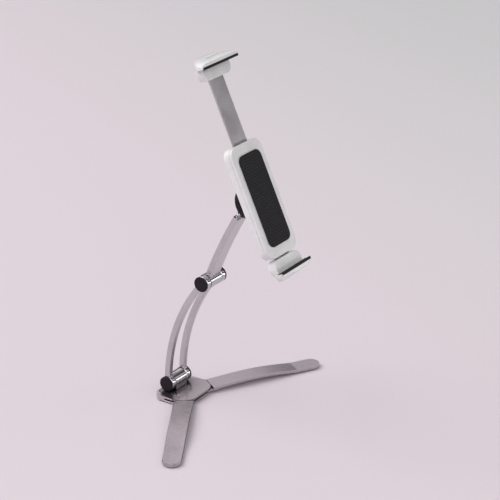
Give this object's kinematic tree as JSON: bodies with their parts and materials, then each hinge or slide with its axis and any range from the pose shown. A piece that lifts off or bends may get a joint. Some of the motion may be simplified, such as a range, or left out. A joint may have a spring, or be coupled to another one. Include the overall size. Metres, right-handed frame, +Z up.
{
  "type": "tablet stand",
  "caption": "Folding desk stand for a tablet: splayed flat legs, paired curved lower arms, a flat upper arm, barrel hinges, a ball joint and a sliding clamp with half-moon jaws.",
  "frame": {"origin": "on the floor under the hub, where the centre lines of the two legs cross; it is the bottom face of the hub's front pad", "axes": "+X along the hinge barrels to the stand's left-to-right, -Y towards the user (the holder's face and the legs' toes), +Z up"},
  "size_m": [0.3112, 0.1832, 0.4313],
  "materials": {
    "satin_aluminium": "bead-blasted and anodised, satin",
    "polished_aluminium": "turned and polished",
    "zinc_steel": "zinc plated",
    "nylon": "moulded",
    "black_plastic": "fine matt texture",
    "white_plastic": "smooth, semi-gloss",
    "rubber": "matt silicone rubber"
  },
  "bodies": {
    "base": {"base_hub": "satin_aluminium", "foot_plate": "satin_aluminium", "lower_knuckle": "polished_aluminium", "knuckle_screw_front": "zinc_steel", "knuckle_screw_rear": "zinc_steel", "hub_pad_front": "rubber", "hub_screw_left": "zinc_steel", "hub_screw_right": "zinc_steel", "leg_pivot_screw_left": "zinc_steel", "leg_pivot_screw_right": "zinc_steel", "hub_pad_left": "rubber", "hub_pad_right": "rubber"},
    "left_leg": {"left_leg": "satin_aluminium", "toe_pad_left": "rubber"},
    "right_leg": {"right_leg": "satin_aluminium", "toe_pad_right": "rubber"},
    "lower_arms": {"lower_arm_left": "satin_aluminium", "lower_arm_right": "satin_aluminium", "lower_washer_left": "nylon", "lower_washer_right": "nylon", "lower_cap_left": "black_plastic", "lower_cap_right": "black_plastic", "upper_washer_left": "nylon", "upper_washer_right": "nylon", "upper_cap_left": "black_plastic", "upper_cap_right": "black_plastic", "lower_bolt": "zinc_steel", "lower_nut": "zinc_steel", "upper_bolt": "zinc_steel", "upper_nut": "zinc_steel"},
    "upper_arm": {"upper_arm": "satin_aluminium", "upper_knuckle": "polished_aluminium", "ball_stud": "zinc_steel"},
    "seat_tilt": {"ball_seat_front": "nylon"},
    "seat_pan": {"ball_seat_rear": "nylon"},
    "holder": {"rear_shell": "white_plastic", "front_shell": "white_plastic", "lock_ring": "black_plastic", "back_pad": "rubber", "lower_rail": "satin_aluminium", "lower_jaw": "white_plastic", "lower_jaw_pad": "rubber", "spring_left": "zinc_steel", "spring_right": "zinc_steel", "shell_screw_top_left": "zinc_steel", "shell_screw_top_right": "zinc_steel", "shell_screw_bottom_left": "zinc_steel", "shell_screw_bottom_right": "zinc_steel", "lower_jaw_screw_left": "zinc_steel", "lower_jaw_screw_right": "zinc_steel"},
    "upper_jaw": {"upper_rail": "satin_aluminium", "upper_jaw": "white_plastic", "upper_jaw_pad": "rubber", "upper_jaw_screw_left": "zinc_steel", "upper_jaw_screw_right": "zinc_steel"}
  },
  "joints": [
    {"name": "left_leg_fold", "type": "hinge", "parent": "base", "child": "left_leg", "pos_m": [-0.01299, -0.0075, 0.0043], "axis": [0, 0, 1], "range_deg": [0, 60]},
    {"name": "right_leg_fold", "type": "hinge", "parent": "base", "child": "right_leg", "pos_m": [0.01299, -0.0075, 0.0043], "axis": [0, 0, -1], "range_deg": [0, 60]},
    {"name": "lower_tilt", "type": "hinge", "parent": "base", "child": "lower_arms", "pos_m": [0, 0.0158, 0.0174], "axis": [1, 0, 0], "range_deg": [-45, 15]},
    {"name": "upper_tilt", "type": "hinge", "parent": "lower_arms", "child": "upper_arm", "pos_m": [0, -0.03636, 0.1607], "axis": [1, 0, 0], "range_deg": [-60, 20]},
    {"name": "ball_tilt", "type": "hinge", "parent": "upper_arm", "child": "seat_tilt", "pos_m": [0, -0.0904, 0.26863], "axis": [1, 0, 0], "range_deg": [-60, 8]},
    {"name": "ball_pan", "type": "hinge", "parent": "seat_tilt", "child": "seat_pan", "pos_m": [0, -0.0904, 0.26863], "axis": [0, 0.4179, 0.9085], "range_deg": [-15, 15]},
    {"name": "holder_turn", "type": "hinge", "parent": "seat_pan", "child": "holder", "pos_m": [0, -0.0904, 0.26863], "axis": [0, -0.9085, 0.4179], "continuous": true},
    {"name": "jaw_slide", "type": "slide", "parent": "holder", "child": "upper_jaw", "axis": [0, 0.4179, 0.9085], "range_m": [-0.073, 0.01]}
  ]
}
